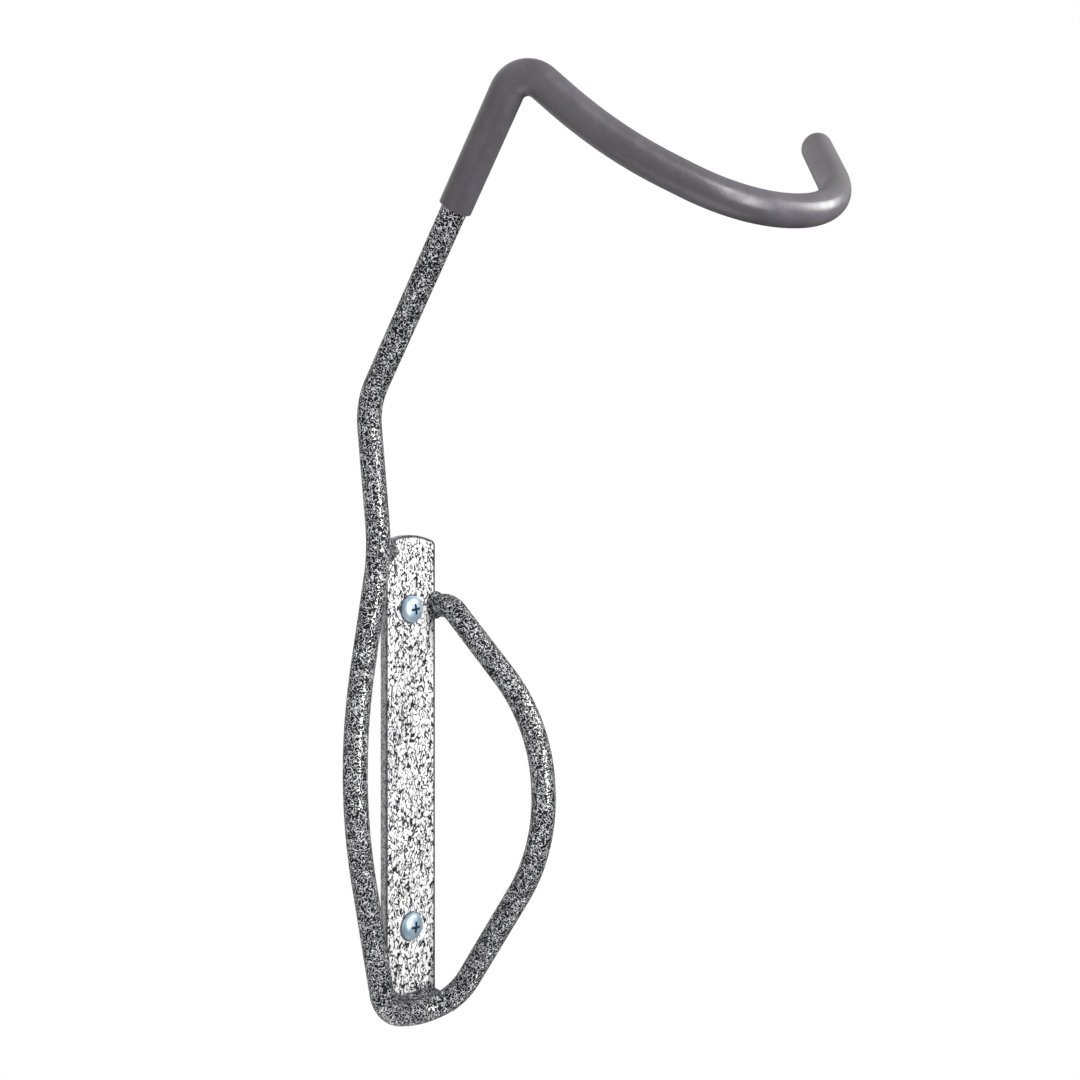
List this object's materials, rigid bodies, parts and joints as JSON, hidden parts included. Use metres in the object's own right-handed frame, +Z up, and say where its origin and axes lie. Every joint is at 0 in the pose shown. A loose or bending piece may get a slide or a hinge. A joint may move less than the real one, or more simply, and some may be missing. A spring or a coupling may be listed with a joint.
{
  "type": "bicycle wall rack",
  "caption": "Wall-mounted rack for hanging a bicycle by a wheel: a flat screwed plate with a bent round bar welded to it, bowed out as a tyre rest below and ending in a sleeved hook above.",
  "frame": {"origin": "middle of the plate's back face, which lies on the wall", "axes": "+X to the right seen from the front, +Y into the wall, +Z up"},
  "size_m": [0.1845, 0.2131, 0.4276],
  "materials": {
    "hammered_steel_pale": "hammered silver paint with dark veins",
    "hammered_steel_dark": "hammered dark grey paint with pale flecks",
    "soft_vinyl": "smooth grey soft vinyl, satin",
    "zinc_screw": "pale blue zinc plating"
  },
  "bodies": {
    "root": {"back_plate": "hammered_steel_pale", "bent_bar": "hammered_steel_dark", "hook_sleeve": "soft_vinyl", "weld_bar_start": "hammered_steel_dark", "weld_plate_corner": "hammered_steel_dark", "weld_plate_foot": "hammered_steel_dark", "screw_upper": "zinc_screw", "screw_lower": "zinc_screw"}
  },
  "joints": []
}
